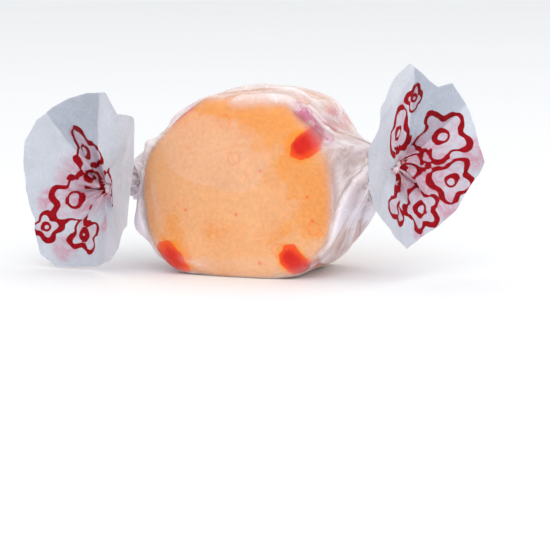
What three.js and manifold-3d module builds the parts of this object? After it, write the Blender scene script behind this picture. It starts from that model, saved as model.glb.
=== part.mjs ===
// A wrapped piece of salt water taffy, standing on its rim.
//
// The sweet is a short round log of pulled taffy, cut flat at the front and the back. Four strips of
// deeper orange run through it from face to face, just under the rim. One rectangular sheet of waxed
// paper is rolled round it with its two edges lapped at the back, twisted into a neck on each side, and
// its ends spread open beyond the necks as two ruffled fans.
//
// Millimetres. +X runs through the two twists, -Y is the front cut face, +Z is up, and the origin is on
// the table under the middle of the sweet.

import * as THREE from 'three';
import { mergeVertices } from 'three/addons/utils/BufferGeometryUtils.js';
import Module from 'manifold-3d';

// ---- Driving dimensions -----------------------------------------------------------------------

const CANDY_DEPTH = 16.6; // cut face to cut face
const CANDY_SIDES = [ // the log's flattened sides: [degrees clockwise from the top, distance out]
  [0, 11.5], [35, 12.7], [60, 12.3], [90, 12.0], [134, 13.0], [180, 11.3],
  [225, 14.5], [250, 14.7], [270, 13.3], [317, 11.8],
];
const SIDE_SHARPNESS = 17; // how sharply one flattened side turns into the next
const RIM_SHARPNESS = 9; // and how sharply the rim turns into a cut face
const FLAT_DEPTH = 11.0; // from the middle down to the spot it stands on, pressed truly flat
const PINCH_DEPTH = 0.7; // dimple that the twisted paper presses into each side
const PINCH_ANGLE = 0.30; // radians from the twist axis
const PINCH_CREASES = 7;
const CREASE_SHARE = 0.35; // how much deeper the dimple is along its creases
const STRIP_WIDTH = 3.1; // along the rim
const STRIP_DEEP = 3.4; // from the rim inwards
const STRIP_ANGLES = [52, 140, 224, 318]; // degrees clockwise from the top, as the front face shows them
const TOUCH_GAP = 0.3; // left between solids that touch

const PAPER_THICKNESS = 0.3; // thick for waxed paper, so that the sheet is a solid
const PAPER_LAP = 12; // width of the lapped edges
const LAP_STEP = 0.5; // how far one turn of the roll lies outside the last
const EASE = 0.16; // how much further out the sheet lies over the rims than over the flats
const LAP_START = 75; // degrees, where the roll starts: at the back, a little above the middle
const TENT_ANGLE = 42; // degrees from the twist axis, where the paper leaves the sweet for the neck
const TENT_SHARE = 0.55; // share of the way from the sweet's middle to the neck where it leaves
const TENT_PULL = [2.6, 1.6, 1.0]; // lengths that bend it: off the sweet, along the neck and out from it
const GATHER_FROM = 0.45; // share of the way where the paper starts to gather evenly
const NECK_START = 15.6; // from the middle to where the neck begins
const NECK_RADIUS = 3.3; // where it begins
const WAIST_RADIUS = 1.6; // and where it opens into its fan
const TWIST_FROM = 0.7; // share of the way from the sweet's middle to the neck where the twist begins
const TWIST_TO = 2.2; // and where it ends: 2 is the fan's root, 3 its edge
const PLEATS = 7; // round a neck
const NECK_PLEAT_DEPTH = 0.5;
const RUFFLE_DEPTH = 0.8; // pleats that carry on into a fan
const NECK_BEND = 0.45; // how far a neck keeps straight at each end, as a share of its length
const RUFFLE_FROM_ROOT = 4; // slant length over which the pleats grow to that depth
const FLARE_LENGTH = 2.0; // over which a neck opens into its fan

// Each fan: where its neck ends, which way its mouth faces, how far the paper turns in the neck, and its
// outline as [degrees from the top towards the outside, slant length from the neck].
const FANS = {
  left: {
    side: -1,
    neckEnd: [-19.0, -6.2, 0.4],
    facing: 65, // degrees that the mouth is turned from sideways to the front
    turn: 265,
    outline: [[0, 11.4], [30, 11.3], [52, 12.0], [90, 11.2], [118, 11.6], [142, 14.2], [160, 12.4],
      [182, 11.1], [215, 12.4], [258, 13.2], [278, 15.0], [303, 15.8], [328, 12.6], [341, 13.1]],
  },
  right: {
    side: 1,
    neckEnd: [19.1, -2.6, 1.8],
    facing: 25,
    turn: 275,
    outline: [[10, 12.5], [20, 12.1], [29, 13.2], [60, 11.5], [80, 11.6], [97, 10.2], [115, 9.1],
      [155, 8.2], [190, 9.5], [215, 10.2], [240, 12.2], [262, 14.0], [318, 13.0], [345, 15.0]],
  },
};
const FAN_SPREAD = { upright: 80, outside: 66, inside: 62 }; // degrees from the mouth's own direction

// Mesh fineness
const LOG_STEPS = 52; // round the log's rim
const LOG_RINGS = 17; // from its back face to its front face
const END_RING = 1.6; // how much nearer the middle of each cut face its first ring lies
const CUT_OVER = 2; // how far the strips' tools pass the log's surface
const CURVE_STEPS = 6; // of a strip's round inner side, and of a fan's opening
const SECTION_SAMPLES = 720;
const ROUND_STEPS = 60; // steps of the sheet across its width
const RIM_CROWDING = 2.5; // millimetres that a radian of bend counts for in spacing them
const SWEET_STEPS = 8; // rows from the sweet's middle to a neck
const SIDE_CROWDING = 1.35;
const NECK_STEPS = 7;
const FAN_STEPS = 5;
const ROOT_CROWDING = 1.4;
const NEARBY = 0.05; // apart, in millimetres or radians, for two places that give a slope
const ROW_NUDGE = 1e-3;

// ---- Derived sizes ----------------------------------------------------------------------------

const HALF_DEPTH = CANDY_DEPTH / 2;
const PAPER_LEVEL = TOUCH_GAP + PAPER_THICKNESS / 2; // middle of the sheet above the sweet
const SEAT = TOUCH_GAP + PAPER_THICKNESS; // lowest level of the sweet above the table
const CENTRE_HEIGHT = FLAT_DEPTH + SEAT;
const FULL_TURN = 2 * Math.PI;

const radians = (degrees) => degrees * Math.PI / 180;
const mix = (a, b, t) => a + (b - a) * t;
const smooth = (t) => t * t * (3 - 2 * t);
const clamp01 = (t) => Math.min(1, Math.max(0, t));
const ramp = (x, from, to) => smooth(clamp01((x - from) / (to - from)));

// ---- The sweet --------------------------------------------------------------------------------

// Radius of the log in the direction clockwise from the top: its flattened sides, rounded together.
function logRadius(clockwise) {
  let sum = 0;
  for (const [degrees, distance] of CANDY_SIDES) {
    const facing = Math.max(0, Math.cos(clockwise - radians(degrees)));
    sum += Math.pow(facing / distance, SIDE_SHARPNESS);
  }
  return Math.pow(sum, -1 / SIDE_SHARPNESS);
}

// Distance from the sweet's middle to its surface along the unit direction (dx, dy, dz).
function sweetReach(dx, dy, dz) {
  const across = Math.hypot(dx, dz);
  const rim = across / logRadius(Math.atan2(dx, dz));
  return Math.pow(Math.pow(rim, RIM_SHARPNESS)
    + Math.pow(Math.abs(dy) / HALF_DEPTH, RIM_SHARPNESS), -1 / RIM_SHARPNESS);
}

// How deep the twisted paper has pressed into the side, creased like a star round the twist axis.
function pinch(dx, dy, dz) {
  const away = Math.acos(Math.min(1, Math.abs(dx)));
  const creases = 1 + CREASE_SHARE * Math.cos(PINCH_CREASES * Math.atan2(dy, dz));
  return PINCH_DEPTH * creases * Math.exp(-Math.pow(away / PINCH_ANGLE, 2));
}

function sweetPoint(dx, dy, dz) {
  const reach = sweetReach(dx, dy, dz) - pinch(dx, dy, dz);
  return [dx * reach, dy * reach, Math.max(dz * reach, -FLAT_DEPTH)];
}

// Closed surface of the whole log, strips included, by rings from the back face to the front face.
function logGeometry() {
  const positions = [...sweetPoint(0, 1, 0)];
  const power = 2 / RIM_SHARPNESS;
  for (let ring = 1; ring < LOG_RINGS; ring++) {
    const t = Math.PI * ring / LOG_RINGS;
    const rise = Math.sign(Math.cos(t)) * Math.pow(Math.abs(Math.cos(t)), power) * HALF_DEPTH;
    const end = ring === 1 || ring === LOG_RINGS - 1;
    const share = Math.pow(Math.sin(t), end ? END_RING * power : power);
    for (let k = 0; k < LOG_STEPS; k++) {
      const clockwise = FULL_TURN * k / LOG_STEPS;
      const out = share * logRadius(clockwise);
      const d = new THREE.Vector3(out * Math.sin(clockwise), rise, out * Math.cos(clockwise)).normalize();
      positions.push(...sweetPoint(d.x, d.y, d.z));
    }
  }
  positions.push(...sweetPoint(0, -1, 0));
  const last = positions.length / 3 - 1;
  const end = last - LOG_STEPS;
  const indices = [];
  for (let k = 0; k < LOG_STEPS; k++) {
    const next = (k + 1) % LOG_STEPS;
    indices.push(0, 1 + k, 1 + next, last, end + next, end + k);
    for (let a = 1; a < end; a += LOG_STEPS) {
      const b = a + LOG_STEPS;
      indices.push(a + k, b + k, b + next, a + k, b + next, a + next);
    }
  }
  return geometryOf(positions, indices);
}

function geometryOf(positions, indices) {
  const geometry = new THREE.BufferGeometry();
  geometry.setAttribute('position', new THREE.Float32BufferAttribute(positions, 3));
  geometry.setIndex(indices);
  return geometry;
}

// Section of a strip across the log, widest at the rim and round on the inside, drawn past the rim.
// Rim is how far out the log's rim lies here, and grown how much larger the section is all round.
function stripShape(rim, grown) {
  const half = STRIP_WIDTH / 2 + grown;
  const inner = rim - STRIP_DEEP - grown;
  const outer = rim + CUT_OVER;
  const shape = new THREE.Shape();
  shape.moveTo(-half, outer);
  shape.lineTo(-half, inner + half);
  shape.absarc(0, inner + half, half, Math.PI, FULL_TURN, false);
  shape.lineTo(half, outer);
  return shape;
}

// The strip's tool: its section run right through the log, turned to its place on the rim.
function stripTool(degrees, grown) {
  const length = CANDY_DEPTH + 2 * CUT_OVER;
  const tool = new THREE.ExtrudeGeometry(stripShape(logRadius(radians(degrees)), grown),
    { depth: length, bevelEnabled: false, curveSegments: CURVE_STEPS });
  tool.translate(0, 0, -length / 2);
  tool.rotateX(Math.PI / 2); // the section's up becomes +Z, and it runs along Y
  tool.rotateY(radians(degrees));
  return tool;
}

// ---- The sheet of waxed paper -----------------------------------------------------------------

// The roll's section over the middle of the sweet: arc length against direction, and against the bend
// so far, by which the sheet's columns stand closer together round the rims.
function rollSection() {
  const samples = SECTION_SAMPLES;
  const points = [];
  for (let k = 0; k <= samples + 1; k++) {
    const angle = radians(LAP_START) + FULL_TURN * k / samples;
    const reach = sweetReach(0, Math.sin(angle), Math.cos(angle)) + PAPER_LEVEL;
    points.push({ angle, at: new THREE.Vector2(Math.sin(angle) * reach, Math.cos(angle) * reach) });
  }
  const angles = [points[0].angle];
  const lengths = [0];
  const bends = [0];
  for (let k = 1; k <= samples; k++) {
    const came = points[k].at.clone().sub(points[k - 1].at);
    const leaves = points[k + 1].at.clone().sub(points[k].at);
    const turned = Math.abs(Math.atan2(came.cross(leaves), came.dot(leaves)));
    angles.push(points[k].angle);
    lengths.push(lengths[k - 1] + came.length());
    bends.push(bends[k - 1] + came.length() + RIM_CROWDING * turned);
  }
  return { angles, lengths, bends, girth: lengths[samples] };
}

const section = rollSection();
const SHEET_WIDTH = section.girth + PAPER_LAP;

// Value of one growing list where another, measured along it, reaches this amount; both go on past a
// full turn.
function follow(from, to, amount) {
  const last = from.length - 1;
  const turns = Math.floor(amount / from[last]);
  const rest = amount - turns * from[last];
  const k = Math.max(1, from.findIndex((value) => value > rest));
  const t = (rest - from[k - 1]) / (from[k] - from[k - 1]);
  return mix(to[k - 1], to[k], t) + (to[last] - to[0]) * turns;
}

// Places of the sheet's columns across its width.
function sheetColumns() {
  const whole = follow(section.lengths, section.bends, SHEET_WIDTH - 1e-6);
  const columns = [];
  for (let k = 0; k <= ROUND_STEPS; k++) {
    columns.push(follow(section.bends, section.lengths, whole * k / ROUND_STEPS));
  }
  return columns;
}

// Direction round the twist axis of the sheet's line at this distance across it, over the sweet.
function directionOver(across) {
  return follow(section.lengths, section.angles, Math.max(0, across));
}

// The same line's direction where the paper is gathered evenly, in the necks and fans.
function directionGathered(across) {
  return radians(LAP_START) + FULL_TURN * across / section.girth;
}

// Point of the sweet's own profile in the half plane at this direction, lifted by the paper.
function liftedProfile(side, direction, fromAxis, lift) {
  const d = [side * Math.cos(fromAxis), Math.sin(fromAxis) * Math.sin(direction),
    Math.sin(fromAxis) * Math.cos(direction)];
  const reach = sweetReach(...d) + lift;
  return [reach * Math.cos(fromAxis), reach * Math.sin(fromAxis)];
}

// Line from the sweet to the neck that the taut paper takes at this direction, as [along, out] points.
function tautLine(fan, across, direction, lift) {
  const leave = radians(TENT_ANGLE);
  const [off, along, out] = TENT_PULL;
  const start = new THREE.Vector2(...liftedProfile(fan.side, direction, leave, lift));
  const behind = new THREE.Vector2(...liftedProfile(fan.side, direction, leave + NEARBY, lift));
  const end = new THREE.Vector2(NECK_START, neckRadius(0, across));
  const heading = start.clone().sub(behind).setLength(off);
  return new THREE.CubicBezierCurve(start, start.clone().add(heading),
    new THREE.Vector2(end.x - along, end.y + out), end);
}

// The sheet's middle surface between the sweet's middle (t = 0) and a neck (t = 1): it hugs the sweet,
// then goes straight for the neck, and is never nearer the sweet than where it hugs it.
function overSweet(fan, across, t) {
  const lift = PAPER_LEVEL + EASE + LAP_STEP * across / section.girth;
  const direction = mix(directionOver(across), directionGathered(across), ramp(t, GATHER_FROM, 1))
    + twisted(fan, t);
  let at;
  if (t <= TENT_SHARE) {
    const fromAxis = mix(Math.PI / 2, radians(TENT_ANGLE), t / TENT_SHARE);
    at = new THREE.Vector2(...liftedProfile(fan.side, direction, fromAxis, lift));
  } else {
    at = tautLine(fan, across, direction, lift).getPoint((t - TENT_SHARE) / (1 - TENT_SHARE));
    const clear = liftedProfile(fan.side, direction, at.angle(), lift);
    at.setLength(Math.max(at.length(), Math.hypot(...clear)));
  }
  return new THREE.Vector3(fan.side * at.x, at.y * Math.sin(direction), at.y * Math.cos(direction));
}

// Pleats of the gathered paper, from 0 on a ridge to 1 in a valley.
function pleat(across) {
  return 0.5 - 0.5 * Math.cos(PLEATS * directionGathered(across));
}

// How far the paper has turned round at this place between the sweet's middle and the fan's edge.
function twisted(fan, place) {
  return radians(fan.turn) * ramp(place, TWIST_FROM, TWIST_TO);
}

function neckRadius(t, across) {
  const gathered = mix(NECK_RADIUS, WAIST_RADIUS, smooth(clamp01(t)));
  return gathered + LAP_STEP * (across / section.girth - 0.5) - NECK_PLEAT_DEPTH * pleat(across);
}

// Middle line of a neck and the directions across it: up, and away from the sweet.
function neckFrame(fan, t) {
  const mouth = mouthDirection(fan);
  const start = new THREE.Vector3(fan.side * NECK_START, 0, 0);
  const end = new THREE.Vector3(...fan.neckEnd);
  const pull = start.distanceTo(end) * NECK_BEND;
  const line = new THREE.CubicBezierCurve3(start,
    start.clone().add(new THREE.Vector3(fan.side * pull, 0, 0)),
    end.clone().addScaledVector(mouth, -pull), end);
  const along = t >= 1 ? mouth : line.getTangent(t);
  const outward = new THREE.Vector3(0, 1, 0).addScaledVector(along, -along.y).normalize();
  const up = new THREE.Vector3().crossVectors(along, outward).multiplyScalar(fan.side);
  return { middle: line.getPoint(t), along, outward, up };
}

function mouthDirection(fan) {
  const turned = radians(fan.facing);
  return new THREE.Vector3(fan.side * Math.cos(turned), -Math.sin(turned), 0);
}

function alongNeck(fan, across, t) {
  const { middle, outward, up } = neckFrame(fan, t);
  const angle = directionGathered(across) + twisted(fan, 1 + t);
  const radius = neckRadius(t, across);
  return middle.clone().addScaledVector(up, radius * Math.cos(angle))
    .addScaledVector(outward, radius * Math.sin(angle));
}

// Slant length of the fan in a direction of its mouth, straight between the outline's points.
function slantLength(fan, angle) {
  const turned = THREE.MathUtils.euclideanModulo(angle * 180 / Math.PI, 360);
  const points = fan.outline;
  for (let k = 0; k < points.length; k++) {
    const [from, fromLength] = points[k];
    const [to, toLength] = points[(k + 1) % points.length];
    const span = THREE.MathUtils.euclideanModulo(to - from, 360);
    const past = THREE.MathUtils.euclideanModulo(turned - from, 360);
    if (past <= span) return mix(fromLength, toLength, past / span);
  }
  return points[0][1];
}

function overFan(fan, across, t) {
  const { middle, along, outward, up } = neckFrame(fan, 1);
  const angle = directionGathered(across) + twisted(fan, 2 + t);
  const sideways = Math.sin(angle) > 0 ? FAN_SPREAD.outside : FAN_SPREAD.inside;
  const spread = radians(mix(sideways, FAN_SPREAD.upright, Math.pow(Math.cos(angle), 2)));
  const length = slantLength(fan, angle) * t;
  let height = 0;
  let radius = neckRadius(1, across);
  let lean = 0;
  for (let k = 0; k < CURVE_STEPS; k++) {
    const run = length * (k + 0.5) / CURVE_STEPS;
    lean = spread * (1 - Math.exp(-run / FLARE_LENGTH));
    height += Math.cos(lean) * length / CURVE_STEPS;
    radius += Math.sin(lean) * length / CURVE_STEPS;
  }
  const lapped = LAP_STEP * (across / section.girth - 0.5);
  const valley = (RUFFLE_DEPTH * (pleat(across) - 0.5) - lapped) * ramp(length, 0, RUFFLE_FROM_ROOT);
  height += valley * Math.sin(lean);
  radius -= valley * Math.cos(lean);
  return middle.clone().addScaledVector(along, height)
    .addScaledVector(up, radius * Math.cos(angle)).addScaledVector(outward, radius * Math.sin(angle));
}

// The sheet's middle surface. Row runs from -3 at the left fan's edge to 3 at the right fan's edge.
function sheetPoint(across, row) {
  const fan = row < 0 ? FANS.left : FANS.right;
  const t = Math.abs(row);
  if (t <= 1) return overSweet(fan, across, t);
  if (t <= 2) return alongNeck(fan, across, t - 1);
  return overFan(fan, across, t - 2);
}

// Places of the sheet's rows along it, closer together where it bends most: over the sweet's side rims
// and at the fans' roots.
function sheetRows() {
  const half = [];
  for (let k = 1; k <= SWEET_STEPS; k++) half.push(1 - Math.pow(1 - k / SWEET_STEPS, SIDE_CROWDING));
  for (let k = 1; k <= NECK_STEPS; k++) half.push(1 + k / NECK_STEPS);
  for (let k = 1; k <= FAN_STEPS; k++) half.push(2 + Math.pow(k / FAN_STEPS, ROOT_CROWDING));
  return [...half.map((row) => -row).reverse(), 0, ...half];
}

// A closed slab: the middle surface moved half a thickness each way, joined along its four edges, and
// pressed flat where it stands on the table. Each small square is split along the diagonal that stands
// further out from the sweet, alike in both skins.
function sheetGeometry() {
  const rows = sheetRows();
  const places = sheetColumns();
  const columns = places.length;
  const middles = [];
  const skins = [[], []];
  for (const row of rows) {
    for (const across of places) {
      const middle = sheetPoint(across, row);
      const outwards = sheetNormal(across, row);
      middles.push(middle);
      skins.forEach((skin, which) => {
        const half = which ? PAPER_THICKNESS / 2 : -PAPER_THICKNESS / 2;
        const moved = middle.clone().addScaledVector(outwards, half);
        const floor = which ? -CENTRE_HEIGHT : -CENTRE_HEIGHT + PAPER_THICKNESS;
        skin.push(moved.x, moved.y, Math.max(moved.z, floor));
      });
    }
  }
  const outer = middles.length;
  const indices = [];
  const quad = (a, b, c, d) => indices.push(a, b, c, a, c, d);
  const outness = (a, b) => middles[a].clone().add(middles[b]).length();
  for (let r = 0; r < rows.length - 1; r++) {
    for (let k = 0; k < columns - 1; k++) {
      const a = r * columns + k;
      let ring = [a, a + 1, a + columns + 1, a + columns];
      if (outness(ring[0], ring[2]) < outness(ring[1], ring[3])) ring = [...ring.slice(1), ring[0]];
      quad(...ring.map((index) => index + outer));
      quad(ring[0], ring[3], ring[2], ring[1]);
    }
    const left = r * columns;
    const right = left + columns - 1;
    quad(left, left + outer, left + columns + outer, left + columns);
    quad(right + outer, right, right + columns, right + columns + outer);
  }
  const last = (rows.length - 1) * columns;
  for (let k = 0; k < columns - 1; k++) {
    quad(k, k + 1, k + 1 + outer, k + outer);
    quad(last + k + outer, last + k + 1 + outer, last + k + 1, last + k);
  }
  return geometryOf([...skins[0], ...skins[1]], indices);
}

// Outward direction of the sheet, from its slopes across and along.
function sheetNormal(across, row) {
  const slopeAcross = sheetPoint(across + NEARBY, row).sub(sheetPoint(across - NEARBY, row));
  const slopeAlong = sheetPoint(across, Math.min(3, row + ROW_NUDGE))
    .sub(sheetPoint(across, Math.max(-3, row - ROW_NUDGE)));
  return slopeAcross.cross(slopeAlong).normalize();
}

// ---- Solids -----------------------------------------------------------------------------------

const wasm = await Module();
wasm.setup();

function solidOf(geometry) {
  const bare = geometry.clone();
  bare.deleteAttribute('normal');
  bare.deleteAttribute('uv');
  const merged = mergeVertices(bare, 1e-4);
  return new wasm.Manifold(new wasm.Mesh({
    numProp: 3,
    vertProperties: merged.attributes.position.array,
    triVerts: new Uint32Array(merged.index.array),
  }));
}

function geometryFrom(solid) {
  const mesh = solid.getMesh();
  return geometryOf(Array.from(mesh.vertProperties), Array.from(mesh.triVerts));
}

const taffyColour = new THREE.MeshStandardMaterial({ color: 0xf7b781, roughness: 0.55, metalness: 0 });
const stripColour = new THREE.MeshStandardMaterial({ color: 0xe5482a, roughness: 0.5, metalness: 0 });
const paperColour = new THREE.MeshStandardMaterial({ color: 0xd4d8e4, roughness: 0.45, metalness: 0 });

function part(name, geometry, material) {
  const mesh = new THREE.Mesh(geometry, material);
  mesh.name = name;
  mesh.position.z = CENTRE_HEIGHT;
  return mesh;
}

const sweet = new THREE.Group();
const log = solidOf(logGeometry());
let body = log;
STRIP_ANGLES.forEach((degrees, k) => {
  const strip = log.intersect(solidOf(stripTool(degrees, 0)));
  body = body.subtract(solidOf(stripTool(degrees, TOUCH_GAP)));
  sweet.add(part(`taffy_strip_${k + 1}`, geometryFrom(strip), stripColour));
});
sweet.add(part('taffy_body', geometryFrom(body), taffyColour));

const taffy = new THREE.Group();
taffy.add(sweet);
taffy.add(part('paper_wrapper', sheetGeometry(), paperColour));

export default taffy;
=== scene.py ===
"""A wrapped piece of salt water taffy: the pulled sweet with its strips, rolled in a sheet of waxed paper
that is twisted at both sides into open fans, on a pale studio floor."""

import math
from typing import NamedTuple

import bmesh
import bpy
import numpy as np
from bpy.props import FloatProperty, FloatVectorProperty, IntProperty, PointerProperty
from bpy.types import Operator, Panel, PropertyGroup
from mathutils import Euler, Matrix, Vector


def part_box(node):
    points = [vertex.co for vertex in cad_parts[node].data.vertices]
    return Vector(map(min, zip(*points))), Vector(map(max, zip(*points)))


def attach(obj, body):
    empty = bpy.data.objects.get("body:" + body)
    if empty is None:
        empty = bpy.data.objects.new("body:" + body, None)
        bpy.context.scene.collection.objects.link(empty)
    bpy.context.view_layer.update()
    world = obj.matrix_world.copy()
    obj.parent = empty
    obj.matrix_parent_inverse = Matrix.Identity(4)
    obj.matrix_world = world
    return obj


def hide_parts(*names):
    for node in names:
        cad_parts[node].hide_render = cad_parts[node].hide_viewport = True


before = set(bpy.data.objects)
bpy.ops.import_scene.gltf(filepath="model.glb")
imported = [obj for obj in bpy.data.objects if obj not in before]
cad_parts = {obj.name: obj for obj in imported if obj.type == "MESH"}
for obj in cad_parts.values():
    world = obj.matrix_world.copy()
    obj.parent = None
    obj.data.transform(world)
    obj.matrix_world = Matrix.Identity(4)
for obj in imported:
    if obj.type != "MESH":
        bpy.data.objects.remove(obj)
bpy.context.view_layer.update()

bl_info = {
    "name": "Wrapped Salt Water Taffy",
    "version": (1, 0, 0),
    "blender": (4, 5, 0),
    "location": "View3D > Sidebar > Taffy",
    "description": "Makes a pulled sweet in twisted waxed paper, with its studio",
    "category": "Add Mesh",
}

MM = 0.001
FULL_TURN = 2 * math.pi

# ---- Sizes that the frame doesn't hold, in millimetres and degrees ------------------------------

# The log's flattened sides: degrees clockwise from the top, seen from the front, and distance out.
SIDE_ANGLES = np.radians([0, 35, 60, 90, 134, 180, 225, 250, 270, 317])
SIDE_DISTANCES = np.array([11.5, 12.7, 12.3, 12.0, 13.0, 11.3, 14.5, 14.7, 13.3, 11.8])
SIDE_SHARPNESS = 17  # how sharply one flattened side turns into the next
RIM_SHARPNESS = 13  # and how sharply the rim turns into a cut face
MEAN_RADIUS = 12.5  # of the log, for spacing its rings
PINCH_ANGLE = 0.30  # radians from the twist axis that the dimple at each side reaches
PINCH_CREASES = 7
CREASE_SHARE = 0.35  # how much deeper the dimple is along its creases


class Strip(NamedTuple):
    """One of the deeper strips that run through the sweet under its rim."""
    node: str
    angle: float  # degrees clockwise from the top, at the front
    lean: float  # degrees that it turns on its way to the back
    width: float  # against the usual strip width
    depth: float  # how far it reaches in, against the usual strip depth
    buried: float  # how far pale taffy has smeared over its front end, from 0 to 1


STRIPS = (
    Strip("taffy_strip_1", angle=56, lean=-12, width=1.0, depth=1.08, buried=0.0),
    Strip("taffy_strip_2", angle=141, lean=-26, width=0.95, depth=1.0, buried=0.0),
    Strip("taffy_strip_3", angle=224, lean=0, width=1.75, depth=0.78, buried=0.04),
    Strip("taffy_strip_4", angle=318, lean=0, width=1.2, depth=1.0, buried=0.94),
)
STRIP_GAP = 0.006  # between a strip and its channel in the sweet
CUT_OVER = 3.0  # how far the strips' tools pass the log's surface
SMEAR_ENDS = (-0.2, 0.9)  # from where to where behind the front face a smear of pale taffy ends
OIL_ENDS = (-8.5, -5.0)  # at which places from front to back a strip's oil stops clearing the paper
HIDING = 3  # more than any point of a strip lies deep inside it

# How far the sweet and the sheet keep clear of each other and of the floor.
SWEET_OFF_FLOOR = 0.05
SHEET_OFF_FLOOR = 0.02
SHEET_LAID = 0.06  # above the sweet, as the sheet is rolled round it
SHEET_CLEAR = 0.03  # and at least, once it is pleated

LAP_START = 75  # direction where the roll starts: 0 is up, 90 the back
TENT_ANGLE = 42  # degrees from the twist axis, where the paper leaves the sweet for the neck
TENT_SHARE = 0.55  # share of the way from the sweet's middle to the neck where it leaves
TENT_PULL = (2.6, 1.6, 1.0)  # lengths that bend it: off the sweet, along the neck and out from it
BULGE_PULL = (0.7, -0.6, 2.4)  # and by how much each is longer where the tent bulges
GATHER_FROM = 0.45  # share of the way where the paper starts to gather evenly
NECK_START = 15.6  # from the middle to where the neck begins
NECK_RADIUS = 3.3  # of the neck where it begins
WAIST_RADIUS = 1.6  # and at its waist
CHOKE_RADIUS = 0.3  # and at the fan's root, where the twist is tightest
CHOKE_START = 0.50  # share of the way along the neck where the waist is
CHOKE_END = 1.05  # and where it would be tightest, just past the fan's root
CHOKE_LENGTH = 0.7  # over which the fan opens again
NECK_BEND = 0.45  # how far a neck keeps straight at each end, as a share of its length
FLARE_LENGTH = 2.0  # over which a neck opens into its fan
TWIST_FROM = 0.45  # share of the way from the sweet's middle to the neck where the twist begins
TWIST_TO = 2.2  # and where it ends: 2 is the fan's root, 3 its edge
FAN_SPREAD = {"upright": 80, "outside": 66, "inside": 64}  # degrees from the mouth's own direction
RUFFLE_GROWS = (2.0, 11.0)  # slant lengths between which a fan's waves grow to their full height
FLARE_STEPS = 12  # in which a fan's curved slant is added up
FACE_EDGE = (1.1, 0.25)  # how far behind the face's level the paper starts to lie on it, and does
FOLD_RADIUS = 12.0  # of the sweet, to measure the folds round it
CRUMPLE_RADIUS = 10  # the same for its crumples
TENT_RADIUS = 9.0  # and of a tent next to the sweet, for its broad pleats
TENT_LENGTH = 15.0  # of a tent, to measure how far past its start a broad pleat lies
PLEATS_END = 1.3  # how far along the neck, which is 1 at its start and 2 at its end, they go
CRUMPLES = 80  # ridges crushed into the paper round the sweet
CREASES = 70  # creases of each fan
LONG_CREASES = 16  # and how many of them are long

# Each fan: how far its neck starts off the twist axis, where the neck ends, which way its mouth
# faces, in which direction, how widely and how much the paper bulges out of its tent, how far round
# the waves of its edge are shifted, and its outline as degrees from the top towards the outside with
# the slant length from the neck there.
FANS = {
    "left": {
        "side": -1,
        "shift": (0.0, 0.0, 0.0),
        "neck_end": (-19.0, -6.2, -0.9),
        "facing": 65,
        "bulge": (228, 42, 1.3),
        "ruffle": 1.3,
        "outline": [(11, 12.1), (27, 12.0), (44, 12.5), (59, 12.2), (78, 11.4), (93, 11.1), (105, 10.4),
                    (117, 9.9), (128, 10.8), (140, 12.0), (152, 11.7), (164, 10.5), (183, 9.7),
                    (214, 10.5), (228, 10.5), (245, 12.3), (256, 14.3), (268, 14.2), (288, 16.0),
                    (312, 15.6), (324, 13.1), (335, 14.7), (353, 12.9)],
    },
    "right": {
        "side": 1,
        "shift": (0.0, -0.6, 1.3),
        "neck_end": (19.1, -2.6, 3.1),
        "facing": 25,
        "bulge": (215, 30, -0.35),
        "ruffle": 4.0,
        "outline": [(5, 11.2), (22, 10.4), (30, 11.8), (45, 11.0), (60, 10.5), (75, 10.1), (89, 10.8),
                    (99, 10.5), (112, 9.6), (132, 9.1), (153, 8.8), (170, 8.7), (195, 10.4), (217, 10.8),
                    (240, 10.5), (254, 12.1), (265, 15.0), (274, 16.4), (283, 16.9), (291, 14.7),
                    (297, 13.7), (311, 13.7), (322, 13.0), (334, 13.1), (346, 13.6)],
    },
}

# Outlined flowers of the print, in the plane of a mouth: place towards the outside and up from the
# twist, radius, lobes, how deep the lobes are, and how far they are turned.
FLOWERS = {
    "left": [(0.9, 5.2, 2.5, 3, 0.26, 20), (3.6, -1.6, 2.7, 5, 0.20, 0), (1.4, -6.0, 2.0, 4, 0.24, 30),
             (-3.2, 1.0, 1.9, 3, 0.25, 70), (6.6, -5.2, 1.5, 4, 0.22, 10), (1.9, 1.6, 1.5, 4, 0.25, 20)],
    "right": [(4.6, 3.6, 2.8, 5, 0.20, 40), (-3.4, 4.4, 2.6, 3, 0.27, 0), (6.4, -2.2, 2.4, 4, 0.22, 15),
              (1.6, -5.6, 2.3, 5, 0.22, 60), (-3.6, -4.6, 2.0, 3, 0.25, 30), (-1.2, 8.8, 1.4, 4, 0.22, 0),
              (1.8, 0.0, 1.3, 4, 0.20, 10), (-1.4, -1.9, 0.9, 3, 0.25, 50)],
}
EYE_SHARE = 0.3  # radius of the ring in a flower's middle, against the flower's
# The same print seen through another layer: place and radius of each soft patch.
GHOSTS = {
    "left": [(2.0, 0.4, 4.6), (7.0, -1.6, 1.7), (4.2, -8.0, 1.8), (-2.4, -4.4, 1.2), (2.6, 7.0, 1.1)],
    "right": [(2.4, -0.6, 4.8), (8.6, 1.2, 2.4), (5.4, -5.4, 2.0), (0.4, -8.4, 1.2), (-3.4, 7.4, 1.2)],
}

# Loose folds of the paper over the sweet: how far along the twist axis and which direction round it
# each starts and ends, its width, and how high it stands.
FOLDS = [
    (-2.0, 322, 11.0, 329, 1.5, 0.75), (3.0, 331, 13.0, 314, 1.3, 0.70),
    (-10.5, 318, -3.0, 327, 1.1, 0.45), (-13.0, 291, -12.0, 309, 1.0, 0.90),
    (-12.2, 286, -10.6, 232, 1.1, 0.30), (-9.0, 224, -3.0, 219, 1.0, 0.35),
    (-6.0, 5, 9.0, 350, 1.4, 0.55), (-9.0, 20, 2.0, 33, 1.2, 0.5),
]

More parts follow.
